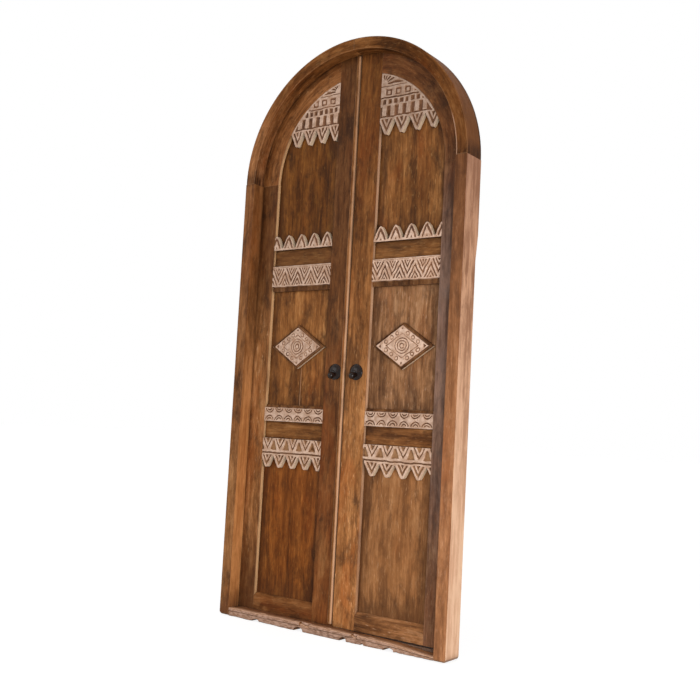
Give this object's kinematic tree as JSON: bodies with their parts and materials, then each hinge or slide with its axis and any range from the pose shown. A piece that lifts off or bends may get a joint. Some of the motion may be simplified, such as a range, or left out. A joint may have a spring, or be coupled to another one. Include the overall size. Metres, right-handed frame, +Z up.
{
  "type": "arched wooden double door",
  "caption": "Old arched timber double door in a rebated frame with a worn sill; inward-opening leaves with carved, whitewashed bands, diamonds and tympanum, and dark iron pulls.",
  "frame": {"origin": "middle of the sill's underside, half way through the frame's depth", "axes": "+X to the right seen from the front, -Y towards the front, +Z up"},
  "size_m": [0.98, 0.107, 2.136],
  "materials": {
    "frame_wood": "worn, oiled",
    "leaf_wood": "worn, oiled",
    "panel_wood": "worn, oiled",
    "whitewashed_carving": "worn whitewash",
    "hinge_iron": "dark, worn",
    "pull_iron": "dark, worn"
  },
  "bodies": {
    "frame": {"left_jamb": "frame_wood", "right_jamb": "frame_wood", "left_arch_segment": "frame_wood", "right_arch_segment": "frame_wood", "sill": "frame_wood", "left_low_frame_hinge_plate": "hinge_iron", "left_mid_frame_hinge_plate": "hinge_iron", "left_top_frame_hinge_plate": "hinge_iron", "right_low_frame_hinge_plate": "hinge_iron", "right_mid_frame_hinge_plate": "hinge_iron", "right_top_frame_hinge_plate": "hinge_iron", "hinge_pins": "hinge_iron", "frame_hinge_screws": "hinge_iron"},
    "left_leaf": {"left_hinge_stile": "leaf_wood", "left_meeting_stile": "leaf_wood", "left_arch_rail": "leaf_wood", "left_upper_rail": "leaf_wood", "left_lower_rail": "leaf_wood", "left_bottom_rail": "leaf_wood", "left_upper_panel": "panel_wood", "left_middle_panel": "panel_wood", "left_lower_panel": "panel_wood", "left_meeting_bead": "leaf_wood", "left_tympanum_carving": "whitewashed_carving", "left_cresting": "whitewashed_carving", "left_chevron_band": "whitewashed_carving", "left_diamond": "whitewashed_carving", "left_scallop_band": "whitewashed_carving", "left_lappet_band": "whitewashed_carving", "left_pull_rose": "pull_iron", "left_pull_knob": "pull_iron", "left_pull_nut": "pull_iron", "left_low_leaf_hinge_plate": "hinge_iron", "left_mid_leaf_hinge_plate": "hinge_iron", "left_top_leaf_hinge_plate": "hinge_iron", "left_hinge_screws": "hinge_iron"},
    "right_leaf": {"right_hinge_stile": "leaf_wood", "right_meeting_stile": "leaf_wood", "right_arch_rail": "leaf_wood", "right_upper_rail": "leaf_wood", "right_lower_rail": "leaf_wood", "right_bottom_rail": "leaf_wood", "right_upper_panel": "panel_wood", "right_middle_panel": "panel_wood", "right_lower_panel": "panel_wood", "right_tympanum_carving": "whitewashed_carving", "right_cresting": "whitewashed_carving", "right_chevron_band": "whitewashed_carving", "right_diamond": "whitewashed_carving", "right_scallop_band": "whitewashed_carving", "right_lappet_band": "whitewashed_carving", "right_pull_rose": "pull_iron", "right_pull_knob": "pull_iron", "right_pull_nut": "pull_iron", "right_low_leaf_hinge_plate": "hinge_iron", "right_mid_leaf_hinge_plate": "hinge_iron", "right_top_leaf_hinge_plate": "hinge_iron", "right_hinge_screws": "hinge_iron"}
  },
  "joints": [
    {"name": "left_hinge", "type": "hinge", "parent": "frame", "child": "left_leaf", "pos_m": [-0.457, 0.054, 0], "axis": [0, 0, 1], "range_deg": [0, 110]},
    {"name": "right_hinge", "type": "hinge", "parent": "frame", "child": "right_leaf", "pos_m": [0.457, 0.054, 0], "axis": [0, 0, -1], "range_deg": [0, 110]}
  ]
}
